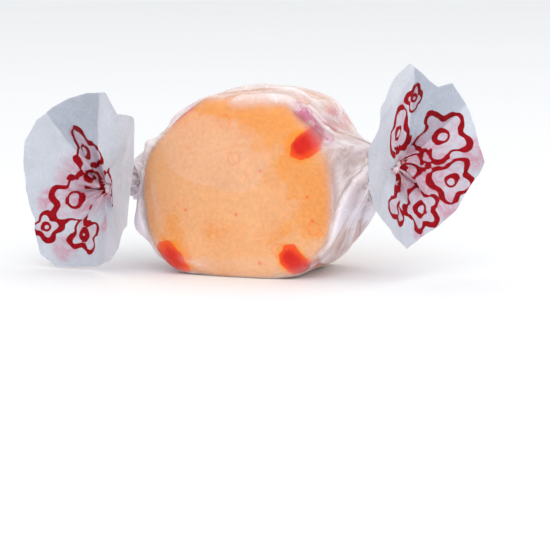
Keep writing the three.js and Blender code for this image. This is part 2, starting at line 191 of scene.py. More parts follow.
# Where a broad pleat lies in several layers over a tent: from and to which column round the roll, in
# degrees, at which share of the way to the neck it starts, and how far it stands out.
BROAD_PLEATS = {
    "left": [(196, 232, 0.50, 0.35), (286, 312, 0.56, 0.3), (20, 60, 0.5, 0.3)],
    "right": [(150, 228, 0.49, 0.45), (296, 322, 0.56, 0.35), (330, 388, 0.40, 0.35), (60, 96, 0.5, 0.3)],
}

# Where the paper clings wetly to the front face, where it is hazy, and where a scrap of print shows
# through it at the rim: ends of the middle line of each patch, across and up from the sweet's middle,
# and its radius.
WET_PATCHES = [
    (9.6, 2.0, 10.6, -3.0, 2.7), (6.0, 2.6, 9.0, 5.0, 1.3), (-7.6, 9.8, 2.2, 10.2, 1.4),
    (2.0, 9.0, 7.0, 8.0, 2.2), (-4.0, -5.8, -1.0, -5.2, 0.4), (-9.6, -4.0, -8.6, -7.0, 0.7),
    (4.4, -6.8, 7.0, -5.0, 0.5), (2.6, 5.6, 4.0, 6.6, 0.9),
]
HAZY_PATCHES = [(-6.0, 5.4, -0.4, 4.2, 4.6), (-4.5, -10.2, 6.0, -10.2, 1.2)]
PRINT_PATCHES = [(8.8, 10.4, 10.2, 9.0, 1.6), (10.4, 8.6, 11.8, 7.0, 0.8)]
SCRAP_ENDS = (-7.5, -5.0)  # at which places from front to back the scrap of print fades

FAR = 9.0  # stands for any distance at which these patches, folds and lines no longer matter

# The photograph's picture: its width, and where the sweet's middle stands in it from the centre.
PICTURE_PIXELS = 550
MIDDLE_PIXELS = (-13.5, 93)  # to the right and up
SENSOR_WIDTH = 36
FLOOR_RADIUS = 5.0  # in metres
# Each light: place in metres, size in metres, power in watts, and tint.
LIGHTS = {
    "key_light": ((0.14, -0.80, 0.46), 0.8, 2.2, (1.0, 0.98, 0.95)),
    "fill_light": ((0.74, -0.50, 0.62), 1.4, 4.6, (0.95, 0.97, 1.0)),
}
SKY = ((0.96, 0.98, 1.0, 1.0), 0.95)  # colour and strength of the even light all round


# ---- Properties -----------------------------------------------------------------------------------

def length(name, millimetres, description):
    """A length that the user can change."""
    return FloatProperty(name=name, description=description, default=millimetres * MM,
                         min=0.0, precision=5, subtype="DISTANCE", unit="LENGTH")


def colour(name, values, description):
    """A colour that the user can change, with scene linear values."""
    return FloatVectorProperty(name=name, description=description, default=values, size=3,
                               min=0.0, max=1.0, subtype="COLOR")


class TaffySweet(PropertyGroup):
    depth: length("Depth", (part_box("taffy_body")[1].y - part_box("taffy_body")[0].y) / MM,
                  "From cut face to cut face, bare")
    grown: length("Grown", 0.55, "How far the sweet fills the space of the thick stand-in paper")
    seat: length("Seat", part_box("taffy_body")[0].z / MM, "Lowest level of the bare sweet")
    sag: length("Sag", 11.0, "From the sweet's middle down to the flat spot of the bare sweet")
    pinch: length("Pinch", 0.7, "Dimple that the twisted paper presses into each side")
    strip_width: length("Strip width", 3.1, "Width of a strip along the rim")
    strip_depth: length("Strip depth", 3.4, "How far a strip reaches inwards")
    body: colour("Taffy", (0.76, 0.355, 0.120), "The pulled sweet")
    deep: colour("Deep taffy", (0.76, 0.285, 0.062), "Its deeper patches")
    cream: colour("Cream taffy", (0.79, 0.41, 0.16), "Its paler patches")
    halo: colour("Halo", (0.82, 0.25, 0.02), "Colour that a strip has bled into the sweet")
    strip: colour("Strip", (0.62, 0.014, 0.006), "The deeper strips")
    strip_edge: colour("Strip edge", (0.82, 0.085, 0.012), "Where a strip meets the sweet")


class TaffyPaper(PropertyGroup):
    lap: length("Lap", 12.0, "Width of the lapped edges at the back")
    pitch: length("Pitch", 0.08, "How far one turn of the roll lies outside the last")
    twist_left: FloatProperty(name="Left twist", default=math.radians(265), subtype="ANGLE",
                              description="How far the paper turns in the left neck")
    twist_right: FloatProperty(name="Right twist", default=math.radians(275), subtype="ANGLE",
                               description="How far the paper turns in the right neck")
    pleats: IntProperty(name="Pleats", default=13, min=3, max=40,
                        description="Pleats gathered round each neck")
    seed: IntProperty(name="Seed", default=5, description="Start of the drawn pleats and creases")
    paper: colour("Paper", (0.59, 0.62, 0.69), "The waxed paper")
    # Partly painted light: a paler, warmer copy of the paper for the parts round the sweet and the necks,
    # made brighter than the fans' paper to lift the shade there, and partly the whiter look of gathered
    # layers.
    brightened_paper: colour("Paper over the sweet", (0.96, 0.88, 0.88), "The paper where the sweet shines through")
    cool: colour("Layered paper", (0.93, 0.90, 1.0), "The paper where it lies in layers, low on the tents")
    ink: colour("Ink", (0.30, 0.002, 0.008), "Outlines of the print")
    ghost: colour("Ghost", (0.58, 0.20, 0.30), "Print that shows through from the other side")


class TaffyStudio(PropertyGroup):
    camera_turn: FloatProperty(name="Camera turn", default=math.radians(20), subtype="ANGLE",
                               description="How far the camera stands to the right of the front")
    camera_rise: FloatProperty(name="Camera rise", default=math.radians(6), subtype="ANGLE",
                               description="How far it looks down on the sweet's middle")
    camera_distance: length("Camera distance", 300.0, "From the sweet's middle")
    focal_length: FloatProperty(name="Focal length", default=149.2, min=1.0,
                                description="Of the lens, in millimetres on a 36 mm sensor")
    floor: colour("Floor", (0.90, 0.90, 0.90), "The floor")


# ---- Helpers --------------------------------------------------------------------------------------

def mix(a, b, share):
    return a + (b - a) * share


def smooth(share):
    return share * share * (3 - 2 * share)


def ramp(x, start, end):
    """Smooth rise from 0 at start to 1 at end."""
    return smooth(np.clip((x - start) / (end - start), 0.0, 1.0))


def bezier(points, share):
    """Point of a cubic curve. The four points and the share can be arrays that broadcast."""
    a, b, c, d = points
    rest = 1 - share
    return rest**3 * a + 3 * rest**2 * share * b + 3 * rest * share**2 * c + share**3 * d


def unit(vectors):
    return vectors / np.maximum(np.linalg.norm(vectors, axis=-1, keepdims=True), 1e-9)


def wrap(angle):
    """The angle taken into -180 to 180 degrees, in radians."""
    return (angle + math.pi) % FULL_TURN - math.pi


def mesh_object(name, points, faces, height):
    """An object from points in millimetres round the sweet's middle, which stands at this height."""
    mesh = bpy.data.meshes.new(name)
    mesh.from_pydata((points * MM + (0.0, 0.0, height)).tolist(), [], faces.tolist())
    mesh.shade_smooth()
    made = bpy.data.objects.new(name, mesh)
    bpy.context.scene.collection.objects.link(made)
    return made


def write_values(mesh, name, values):
    """Stores one number or one vector for each vertex, for the materials to read."""
    vectors = values.ndim == 2
    kind = "FLOAT_VECTOR" if vectors else "FLOAT"
    attribute = mesh.attributes.new(name, kind, "POINT")
    attribute.data.foreach_set("vector" if vectors else "value", values.astype(np.float32).ravel())


def points_of(mesh, height):
    """A mesh's vertices in millimetres round the sweet's middle."""
    flat = np.empty(len(mesh.vertices) * 3)
    mesh.vertices.foreach_get("co", flat)
    return (flat.reshape(-1, 3) - (0.0, 0.0, height)) / MM


def finish_piece(piece, slot, material, *nodes):
    """Gives a piece its material, hides the CAD nodes that it stands for, and hangs it under the root empty.
    """
    piece.data.materials.clear()
    piece.data.materials.append(material)
    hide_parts(*nodes)
    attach(piece, "root")


# ---- The sweet's shape ----------------------------------------------------------------------------

def log_radius(clockwise):
    """Radius of the log in the direction clockwise from the top."""
    facing = np.maximum(0.0, np.cos(np.asarray(clockwise)[..., None] - SIDE_ANGLES))
    return ((facing / SIDE_DISTANCES) ** SIDE_SHARPNESS).sum(-1) ** (-1 / SIDE_SHARPNESS)


def relief(towards):
    """Gentle unevenness of the soft sweet, which the paper follows."""
    x, y, z = np.moveaxis(towards, -1, 0)
    return (0.10 * np.sin(5.1 * x + 2.3 * z + 0.4) * np.cos(4.3 * z - 1.9 * x)
            + 0.07 * np.sin(9.2 * z + 3.7 * y + 1.0) * np.sin(8.1 * x - 2.0)
            + 0.04 * np.cos(15.0 * x + 6.0 * y) * np.cos(13.0 * z + 5.0 * y))


def reach_of(sweet, towards):
    """Distance from the sweet's middle to its surface along unit vectors."""
    x, y, z = np.moveaxis(towards, -1, 0)
    rim = np.hypot(x, z) / log_radius(np.arctan2(x, z))
    face = np.abs(y) / (sweet.depth / MM / 2)
    bare = (rim**RIM_SHARPNESS + face**RIM_SHARPNESS) ** (-1 / RIM_SHARPNESS)
    return bare + sweet.grown / MM + relief(towards)


def centre_height(sweet):
    return sweet.seat + sweet.sag


def dimple(sweet, towards):
    """How deep the twisted paper has pressed into the side, creased like a star."""
    x, y, z = np.moveaxis(towards, -1, 0)
    away = np.arccos(np.minimum(1.0, np.abs(x)))
    creases = 1 + CREASE_SHARE * np.cos(PINCH_CREASES * np.arctan2(y, z))
    return sweet.pinch / MM * creases * np.exp(-((away / PINCH_ANGLE) ** 2))


def rim_profile(angle):
    """The log's rounded profile from the back face's middle (0) over the rim to the front face's (pi):
    share of the rim's radius, and share of half the depth."""
    power = 2 / RIM_SHARPNESS
    return np.sin(angle) ** power, np.sign(np.cos(angle)) * np.abs(np.cos(angle)) ** power


def log_mesh(sweet, around=300, rings=150, samples=4001):
    """The whole log, strips included, with its rings evenly spaced along the profile."""
    half = sweet.depth / MM / 2
    fine = np.linspace(0, math.pi, samples)
    out, back = rim_profile(fine)
    steps = np.hypot(np.diff(out * MEAN_RADIUS), np.diff(back * half))
    walked = np.concatenate([[0.0], np.cumsum(steps)])
    places = np.interp(np.linspace(0, walked[-1], rings + 1)[1:-1], walked, fine)
    clockwise = FULL_TURN * np.arange(around) / around
    share, level = (line[:, None] for line in rim_profile(places))
    wide = share * log_radius(clockwise)[None, :]
    level = level * half + 0 * wide
    towards = unit(np.stack([wide * np.sin(clockwise), level, wide * np.cos(clockwise)], -1))
    towards = np.concatenate([[[0.0, 1.0, 0.0]], towards.reshape(-1, 3), [[0.0, -1.0, 0.0]]])
    points = towards * (reach_of(sweet, towards) - dimple(sweet, towards))[:, None]
    points[:, 2] = np.maximum(points[:, 2], -centre_height(sweet) / MM + SWEET_OFF_FLOOR)
    last = len(points) - 1
    faces = []
    for k in range(around):
        after = (k + 1) % around
        faces.append((0, 1 + k, 1 + after))
        for ring in range(rings - 2):
            a = 1 + ring * around
            b = a + around
            faces.append((a + k, b + k, b + after, a + after))
        end = 1 + (rings - 2) * around
        faces.append((last, end + after, end + k))
    return points, faces


def strip_section(sweet, number, grown):
    """Outline of a strip's cut end, a little uneven, widest at the rim and round on the inside."""
    strip = STRIPS[number]
    half = strip.width * sweet.strip_width / MM / 2 + grown
    round_in = half / strip.width
    rim = float(log_radius(np.radians(strip.angle)))
    inner = rim - strip.depth * sweet.strip_depth / MM - grown + round_in
    outline = [(-half, rim + CUT_OVER)]
    for angle in np.linspace(math.pi, FULL_TURN, 25):
        uneven = 1 + 0.09 * math.sin(3 * angle + 2 * number) + 0.06 * math.sin(7 * angle + number)
        outline.append((uneven * half * math.cos(angle), inner + uneven * round_in * math.sin(angle)))
    outline.append((half, rim + CUT_OVER))
    return np.array(outline)


def leaned(sweet, strip, along):
    """Direction of a strip from the top, in radians, at this place along the log."""
    share = along / (sweet.depth / MM) + 0.5
    return np.radians(strip.angle + strip.lean * share)


def strip_tool(sweet, number, grown, steps=24):
    """A strip's section run right through the log, wandering a little on its way."""
    strip = STRIPS[number]
    outline = strip_section(sweet, number, grown)
    depth = sweet.depth / MM + 2 * CUT_OVER
    rings = []
    for k in range(steps + 1):
        along = depth * (k / steps - 0.5)
        turn = leaned(sweet, strip, along)
        wander = 0.28 * math.sin(0.42 * along + strip.angle)
        across = outline[:, 0] * (1 + 0.09 * math.sin(0.6 * along + 2 * strip.angle)) + wander
        up = outline[:, 1] + 0.18 * math.sin(0.5 * along + 3 * strip.angle)
        x = across * math.cos(turn) + up * math.sin(turn)
        z = -across * math.sin(turn) + up * math.cos(turn)
        rings.append(np.stack([x, np.full_like(x, along), z], -1))
    count = len(outline)
    faces = [list(range(count)), [steps * count + k for k in reversed(range(count))]]
    for ring in range(steps):
        for k in range(count):
            a, b = ring * count + k, ring * count + (k + 1) % count
            faces.append([a, a + count, b + count, b])
    return np.concatenate(rings), faces


def bare_object(name, points, faces):
    """A helper object in millimetres, with its faces turned outwards."""
    mesh = bpy.data.meshes.new(name)
    mesh.from_pydata(points.tolist(), [], faces)
    made = bpy.data.objects.new(name, mesh)
    bpy.context.scene.collection.objects.link(made)
    shape = bmesh.new()
    shape.from_mesh(mesh)
    bmesh.ops.recalc_face_normals(shape, faces=shape.faces)
    shape.to_mesh(mesh)
    shape.free()
    return made


def cut(whole, tools, operation):
    """The whole cut by each tool in turn, as a new mesh."""
    for tool in tools:
        step = whole.modifiers.new("Cut", "BOOLEAN")
        step.operation = operation
        step.solver = "MANIFOLD"
        step.object = tool
    bpy.context.view_layer.update()
    graph = bpy.context.evaluated_depsgraph_get()
    mesh = bpy.data.meshes.new_from_object(whole.evaluated_get(graph))
    whole.modifiers.clear()
    if not mesh.polygons:
        raise RuntimeError(f"the cut left nothing of {whole.name}")
    return mesh


def sweet_piece(name, mesh, sweet):
    """Turns a cut mesh from millimetres to metres, in its place above the floor."""
    height = centre_height(sweet)
    flat = np.empty(len(mesh.vertices) * 3)
    mesh.vertices.foreach_get("co", flat)
    mesh.vertices.foreach_set("co", (flat.reshape(-1, 3) * MM + (0.0, 0.0, height)).ravel())
    mesh.name = name
    made = bpy.data.objects.new(name, mesh)
    bpy.context.scene.collection.objects.link(made)
    mesh.shade_smooth()
    mesh.set_sharp_from_angle(angle=math.radians(35))
    return made


def under_smear(sweet, points, strip):
    """How far pale taffy covers these points of a strip."""
    return strip.buried * (1 - ramp(points[:, 1] + sweet.depth / MM / 2, *SMEAR_ENDS))


def near_strip(sweet, points):
    """For points of the sweet: how deep inside a strip each lies, in millimetres, below 0 outside."""
    best = np.full(len(points), -10 * FAR)
    half = sweet.strip_width / MM / 2
    for strip in STRIPS:
        turn = leaned(sweet, strip, points[:, 1])
        across = points[:, 0] * np.cos(turn) - points[:, 2] * np.sin(turn)
        up = points[:, 0] * np.sin(turn) + points[:, 2] * np.cos(turn)
        rim = float(log_radius(np.radians(strip.angle)))
        below = np.minimum(0.0, up - (rim - strip.depth * sweet.strip_depth / MM + half))
        inside = half - np.hypot(across / strip.width, below)
        inside = inside - HIDING * under_smear(sweet, points, strip)
        best = np.where(up > 0, np.maximum(best, inside), best)
    return best


def inside_patches(points, patches):
    """How far inside the nearest of these patches of the front face each point lies."""
    place = points[..., [0, 2]]
    best = np.full(points.shape[:-1], -FAR)
    for x0, z0, x1, z1, radius in patches:
        run = np.array([x1 - x0, z1 - z0])
        beyond = place - (x0, z0)
        share = np.clip((beyond @ run) / (run @ run), 0, 1)
        best = np.maximum(best, radius - np.linalg.norm(beyond - share[..., None] * run, axis=-1))
    return np.where(points[..., 1] < 0, best, -FAR)


# ---- The sheet's shape ----------------------------------------------------------------------------

class Sheet:
    """The sheet of waxed paper as a grid: rows from the left fan's edge to the right fan's edge, and
    columns round the roll. Lengths are millimetres round the sweet's middle."""

    def __init__(self, sweet, paper, columns=310, sweet_rows=72, neck_rows=26, fan_rows=56):
        self.sweet = sweet
        self.paper = paper
        samples = np.radians(LAP_START) + FULL_TURN * np.arange(721) / 720
        towards = np.stack([0 * samples, np.sin(samples), np.cos(samples)], -1)
        ring = towards * reach_of(sweet, towards)[:, None]
        steps = np.linalg.norm(np.diff(ring, axis=0), axis=1)
        self.walked = np.concatenate([[0.0], np.cumsum(steps)])
        self.angles = samples
        self.girth = self.walked[-1]
        self.across = np.linspace(0, self.girth + paper.lap / MM, columns)
        self.gathered = np.radians(LAP_START) + FULL_TURN * self.across / self.girth
        self.places = np.concatenate([
            np.linspace(0, 1, sweet_rows, endpoint=False),
            np.linspace(1, 2, neck_rows, endpoint=False),
            2 + np.linspace(0, 1, fan_rows) ** 1.15,
        ])

    def direction_over(self):
        """Direction of each column round the twist axis over the sweet: 0 is up, 90 degrees the back."""
        turns = np.floor(self.across / self.girth)
        return np.interp(self.across - turns * self.girth, self.walked, self.angles) + FULL_TURN * turns

    def twisted(self, fan, place):
        turn = self.paper.twist_left if fan["side"] < 0 else self.paper.twist_right
        return turn * ramp(place, TWIST_FROM, TWIST_TO)

    def layer(self):
        """How far each column lies outside the first one."""
        return self.paper.pitch / MM * self.across / self.girth

    def lifted_profile(self, side, direction, from_axis):
        """Point of the sweet's profile in the half plane at this direction, under the paper."""
        along, out = np.cos(from_axis), np.sin(from_axis)
        towards = np.stack(np.broadcast_arrays(side * along, out * np.sin(direction),
                                               out * np.cos(direction)), -1)
        reach = reach_of(self.sweet, towards) + SHEET_LAID + self.layer()
        return np.stack([reach * along, reach * out], -1)

    def over_sweet(self, fan, share):
        """Rows between the sweet's middle (share 0) and a neck (share 1)."""
        side = fan["side"]
        share = share[:, None]
        direction = mix(self.direction_over(), self.gathered, ramp(share, GATHER_FROM, 1.0))
        direction = direction + self.twisted(fan, share)
        leave = np.radians(TENT_ANGLE)
        hug = self.lifted_profile(side, direction, mix(math.pi / 2, leave, share / TENT_SHARE))
        start = self.lifted_profile(side, direction, leave + 0 * share)
        behind = self.lifted_profile(side, direction, leave + 0.05 + 0 * share)
        towards, reach, extra = fan["bulge"]
        bulge = extra * np.exp(-(wrap(direction - math.radians(towards)) / math.radians(reach)) ** 2)
        off, along, out = TENT_PULL
        more_off, more_along, more_out = BULGE_PULL
        off = off * (1 + more_off * bulge)
        along = along * (1 + more_along * np.minimum(bulge, 1))
        out = out * (1 + more_out * bulge)
        pull = np.stack([-along, out], -1)
        end = np.stack(np.broadcast_arrays(NECK_START, self.neck_radius(0.0 * share)), -1)
        curve = (start, start + off[..., None] * unit(start - behind), end + pull, end)
        taut = bezier(curve, np.clip((share - TENT_SHARE) / (1 - TENT_SHARE), 0, 1)[..., None])
        from_axis = np.arctan2(taut[..., 1], taut[..., 0])
        clear = np.linalg.norm(self.lifted_profile(side, direction, from_axis), axis=-1)
        away = np.linalg.norm(taut, axis=-1)
        taut = taut * (np.maximum(away, clear) / away)[..., None]
        at = np.where((share <= TENT_SHARE)[..., None], hug, taut)
        points = np.stack([side * at[..., 0], at[..., 1] * np.sin(direction),
                           at[..., 1] * np.cos(direction)], -1)
        return points + ramp(share, TENT_SHARE, 1)[..., None] * fan["shift"]

    def neck_radius(self, share):
        waist = mix(NECK_RADIUS, WAIST_RADIUS, ramp(share, 0, CHOKE_START))
        return mix(waist, CHOKE_RADIUS, ramp(share, CHOKE_START, CHOKE_END)) + self.layer()

    def mouth(self, fan):
        turned = math.radians(fan["facing"])
        return np.array([fan["side"] * math.cos(turned), -math.sin(turned), 0.0])

    def neck_frame(self, fan, share):
        """Middle line of a neck and the directions across it: up, and away from the sweet."""
        mouth = self.mouth(fan)
        start = np.array([fan["side"] * NECK_START, 0.0, 0.0]) + fan["shift"]
        end = np.array(fan["neck_end"])
        pull = np.linalg.norm(end - start) * NECK_BEND
        ahead = start + (fan["side"] * pull, 0.0, 0.0)
        back = end - mouth * pull
        share = np.asarray(share, float)[:, None]
        middle = bezier((start, ahead, back, end), share)
        rest = 1 - share
        slope = rest**2 * (ahead - start) + 2 * rest * share * (back - ahead) + share**2 * (end - back)
        along = unit(slope)
        outward = unit(np.array([0.0, 1.0, 0.0]) - along * along[:, 1:2])
        up = np.cross(along, outward) * fan["side"]
        return middle, along, outward, up

    def along_neck(self, fan, share):
        middle, _, outward, up = self.neck_frame(fan, share)
        angle = self.gathered + self.twisted(fan, 1 + share)[:, None]
        radius = self.neck_radius(share[:, None])
        return (middle[:, None] + up[:, None] * (radius * np.cos(angle))[..., None]
                + outward[:, None] * (radius * np.sin(angle))[..., None])

    def slant_length(self, fan, angle):
        """Slant length of the fan in a direction of its mouth, straight between the outline's points."""
        degrees, lengths = np.array(fan["outline"]).T
        degrees = np.radians(np.concatenate([degrees, [degrees[0] + 360]]))
        lengths = np.concatenate([lengths, lengths[:1]])
        turned = (angle - degrees[0]) % FULL_TURN + degrees[0]
        before = np.clip(np.searchsorted(degrees, turned, side="right") - 1, 0, len(degrees) - 2)
        low, high = degrees[before], degrees[before + 1]
        near, far = lengths[before], lengths[before + 1]
        return near * far * np.sin(high - low) / (near * np.sin(turned - low) + far * np.sin(high - turned))

    def over_fan(self, fan, share):
        """Rows of a fan, with each vertex's place in the flattened mouth, in millimetres."""
        middle, along, outward, up = (line[0] for line in self.neck_frame(fan, [1.0]))
        angle = self.gathered + self.twisted(fan, 2 + share)[:, None]
        sideways = np.where(np.sin(angle) > 0, FAN_SPREAD["outside"], FAN_SPREAD["inside"])
        spread = np.radians(mix(sideways, FAN_SPREAD["upright"], np.cos(angle) ** 2))
        slant = self.slant_length(fan, angle) * share[:, None]
        height = np.zeros_like(slant)
        choked = self.neck_radius(np.ones_like(slant))
        radius = mix(WAIST_RADIUS + self.layer(), choked, np.exp(-slant / CHOKE_LENGTH))
        for k in range(FLARE_STEPS):
            lean = spread * (1 - np.exp(-slant * (k + 0.5) / FLARE_STEPS / FLARE_LENGTH))
            height += np.cos(lean) * slant / FLARE_STEPS
            radius += np.sin(lean) * slant / FLARE_STEPS
        wave = self.ruffle(fan, angle) * ramp(slant, *RUFFLE_GROWS)
        height += wave * np.sin(lean)
        radius -= wave * np.cos(lean)
        points = (middle + along * height[..., None] + up * (radius * np.cos(angle))[..., None]
                  + outward * (radius * np.sin(angle))[..., None])
        flat = np.stack([radius * np.sin(angle), radius * np.cos(angle), 0 * radius], -1)
        return points, flat, slant

    def ruffle(self, fan, angle):
        """Slow waves of a fan's edge."""
        shift = fan["ruffle"]
        return (0.55 * np.sin(3 * angle + shift) + 0.40 * np.sin(5 * angle + 2.1 * shift)
                + 0.22 * np.sin(8 * angle + 3.7 * shift))

    def half_sheet(self, fan):
        """All rows of one side: points, place in the mouth, and slant length beyond the neck."""
        places = self.places
        sweet = self.over_sweet(fan, places[places < 1])
        neck = self.along_neck(fan, places[(places >= 1) & (places < 2)] - 1)
        spread, flat, slant = self.over_fan(fan, places[places >= 2] - 2)
        points = np.concatenate([sweet, neck, spread])
        before = len(points) - len(spread)
        flat = np.concatenate([np.zeros((before,) + flat.shape[1:]), flat])
        slant = np.concatenate([np.zeros((before,) + slant.shape[1:]), slant])
        return points, flat, slant

    def slopes(self, points):
        """Directions across and out of the grid."""
        across = unit(np.gradient(points, axis=1))
        along = unit(np.gradient(points, axis=0))
        return across, unit(np.cross(across, along))

    def pleated(self, fan, points, slant, rng):
        """Gathers the sheet into knife pleats that run from the sweet's side through the neck and out
        into the fan."""
        across, out = self.slopes(points)
        out = out * fan["side"]
        place = self.places[:, None]
        moved = points.copy()
        room = 1 - 0.75 * ramp(place, 1 + CHOKE_START, 2) * np.exp(-slant / CHOKE_LENGTH)
        count = self.paper.pleats
        for k in range(count):
            angle = FULL_TURN * (k + rng.uniform(-0.3, 0.3)) / count
            width = FULL_TURN / count * rng.uniform(0.30, 0.52)
            lap = rng.uniform(0.35, 0.75)
            rise = rng.uniform(0.22, 0.42) * rng.choice([-1, 1])
            start = rng.uniform(0.42, 0.70)
            gone = rng.choice([3.0, 4.5, 6.0, 9.0, 14.0])
            strength = ramp(place, start, start + 0.45) * (1 - ramp(slant, 0.25 * gone, gone))
            u = wrap(self.gathered - angle) / width
            bend = -u * np.exp(0.5 - u * u / 2) * strength * room
            moved += (lap * across + rise * out) * bend[..., None]
        for k in range(2 * count):
            angle = rng.uniform(0, FULL_TURN)
            width = rng.uniform(0.07, 0.13)
            gone = rng.uniform(2.0, 7.0)
            u = wrap(self.gathered - angle) / width
            bend = -u * np.exp(0.5 - u * u / 2) * ramp(slant, 0.0, 0.8) * (1 - ramp(slant, 0.3 * gone, gone))
            moved += out * (rng.uniform(0.2, 0.45) * bend)[..., None]
        return moved

    def folded(self, points, slant):
        """Raises the loose folds where the paper goes round the sweet, and tells how far inside a fold
        each vertex lies."""
        towards = unit(points)
        round_axis = np.degrees(np.arctan2(points[..., 1], points[..., 2]))
        scale = math.radians(1) * FOLD_RADIUS
        height = np.zeros(slant.shape)
        pile = np.full(slant.shape, -FAR)
        for x0, from_angle, x1, to_angle, width, high in FOLDS:
            beside = (round_axis - from_angle + 180) % 360 - 180
            run = np.array([x1 - x0, ((to_angle - from_angle + 180) % 360 - 180) * scale])
            place = np.stack([points[..., 0] - x0, beside * scale], -1)
            share = np.clip((place @ run) / (run @ run), 0, 1)
            away = np.linalg.norm(place - share[..., None] * run, axis=-1)
            ridge = np.maximum(0.0, 1 - away / width)
            arch = np.sqrt(4 * share * (1 - share))
            height = np.maximum(height, high * ridge * arch)
            pile = np.maximum(pile, 0.7 * width * arch - away - 0.05)
        return points + towards * (height * (slant <= 0))[..., None], pile

    def crumpled(self, points, slant):
        """Raises shallow straight ridges where the paper was crushed round the sweet."""
        rng = np.random.default_rng(self.paper.seed + 20)
        round_axis = np.arctan2(points[..., 1], points[..., 2])
        height = np.zeros(slant.shape)
        for _ in range(CRUMPLES):
            beside = points[..., 0] - rng.uniform(-16, 16)
            beyond = wrap(round_axis - rng.uniform(0, FULL_TURN)) * CRUMPLE_RADIUS
            turn = rng.uniform(0, math.pi)
            width = rng.uniform(0.7, 2.0)
            reach = rng.uniform(2.5, 6.5)
            across = beside * math.cos(turn) + beyond * math.sin(turn)
            along = np.abs(-beside * math.sin(turn) + beyond * math.cos(turn))
            ridge = np.maximum(0.0, 1 - np.abs(across) / width) * (1 - ramp(along, 0.4 * reach, reach))
            height += rng.uniform(0.07, 0.22) * ridge
        height *= (slant <= 0) * ramp(np.abs(points[..., 0]), 23, 17)
        return points + unit(points) * (height * self.off_faces(points))[..., None]

    def off_faces(self, points):
        """1 where the paper goes round the sweet, 0 on the two flat faces."""
        out = self.sweet.depth / MM / 2 + self.sweet.grown / MM
        start, end = FACE_EDGE
        return 1 - ramp(np.abs(points[..., 1]), out - start, out - end)

    def broad_pleats(self, name, points, slant, pile):
        """Lays the broad pleats over the tents."""
        towards = unit(points)
        place = self.places[:, None]
        scale = mix(TENT_RADIUS, NECK_RADIUS, np.clip(place, 0, 1))
        for start_angle, end_angle, start, high in BROAD_PLEATS[name]:
            middle = np.radians((start_angle + end_angle) / 2)
            half = np.radians((end_angle - start_angle) / 2)
            inside = (half - np.abs(wrap(self.gathered - middle))) * scale
            inside = np.minimum(inside, (place - start) * TENT_LENGTH)
            inside = np.where(place < PLEATS_END, inside, -FAR)
            height = high * ramp(inside, -0.25, 0.15) * (1 - 0.7 * ramp(inside, 0.2, 2.5))
            points = points + towards * (height * (slant <= 0) * (place <= 1))[..., None]
            pile = np.maximum(pile, inside)
        return points, pile

    def near_strips(self, points):
        """How deep each vertex lies over a strip, near the front, where the strip's oil clears the
        paper."""
        strips = near_strip(self.sweet, points.reshape(-1, 3)).reshape(points.shape[:-1])
        return strips - HIDING * ramp(points[..., 1], *OIL_ENDS)

    def printed(self, name, flat):
        """How far each vertex lies from the print's lines, and how much of a ghost shows there."""
        x, y = flat[..., 0], flat[..., 1]
        inside = np.full(x.shape, -FAR)
        line = np.full(x.shape, FAR)
        for across, up, radius, lobes, depth, turn in FLOWERS[name]:
            away = np.hypot(x - across, y - up)
            round_it = np.arctan2(x - across, y - up) - math.radians(turn)
            edge = radius * (1 + depth * np.cos(lobes * round_it))
            slope = radius * depth * lobes * np.sin(lobes * round_it) / edge
            inside = np.maximum(inside, (edge - away) / np.sqrt(1 + slope * slope))
            line = np.minimum(line, np.abs(away - EYE_SHARE * radius))
        line = np.minimum(line, np.abs(inside))
        ghost = np.zeros(x.shape)
        for across, up, radius in GHOSTS[name]:
            ghost = np.maximum(ghost, 1 - ramp(np.hypot(x - across, y - up), 0.5 * radius, 1.2 * radius))
        ghost = np.maximum(ghost, 0.55 * ramp(inside, 0.0, 0.5))
        return line, ghost

    def creased(self, points, flat, slant, rng):
        """Long straight creases and flat facets of crumpled paper in a fan."""
        _, out = self.slopes(points)
        height = np.zeros_like(slant)
        for number in range(CREASES):
            turn = rng.uniform(0, math.pi)
            offset = rng.uniform(-12, 12)
            long = number < LONG_CREASES
            width = rng.uniform(1.4, 3.0) if long else rng.uniform(0.5, 1.1)
            rise = (rng.uniform(0.15, 0.34) if long else rng.uniform(0.07, 0.17)) * rng.choice([-1, 1])
            middle = rng.uniform(-9, 9)
            reach = rng.uniform(5, 12) if long else rng.uniform(2, 6)
            beside = flat[..., 0] * math.cos(turn) + flat[..., 1] * math.sin(turn) - offset
            beyond = np.abs(-flat[..., 0] * math.sin(turn) + flat[..., 1] * math.cos(turn) - middle)
            ridge = np.maximum(0.0, 1 - np.abs(beside) / width)
            height += rise * ridge * (1 - ramp(beyond, 0.4 * reach, reach))
        height *= ramp(slant, 1.0, 4.0)
        return points + out * height[..., None]

    def cleared(self, points, slant):
        """Pushes the paper out of the sweet and off the floor, and tells how far it lies off the
        sweet."""
        towards = unit(points)
        away = np.linalg.norm(points, axis=-1)
        surface = reach_of(self.sweet, towards)
        floor = -centre_height(self.sweet) / MM + SHEET_OFF_FLOOR + 0.3 * self.layer()
        near = slant <= 0
        least = np.where(near, surface + SHEET_CLEAR + self.layer(), 0)
        points = points * (np.maximum(away, least) / away)[..., None]
        points[..., 2] = np.maximum(points[..., 2], floor)
        lift = np.where(near, np.linalg.norm(points, axis=-1) - surface, FAR)
        return points, np.minimum(lift, FAR)

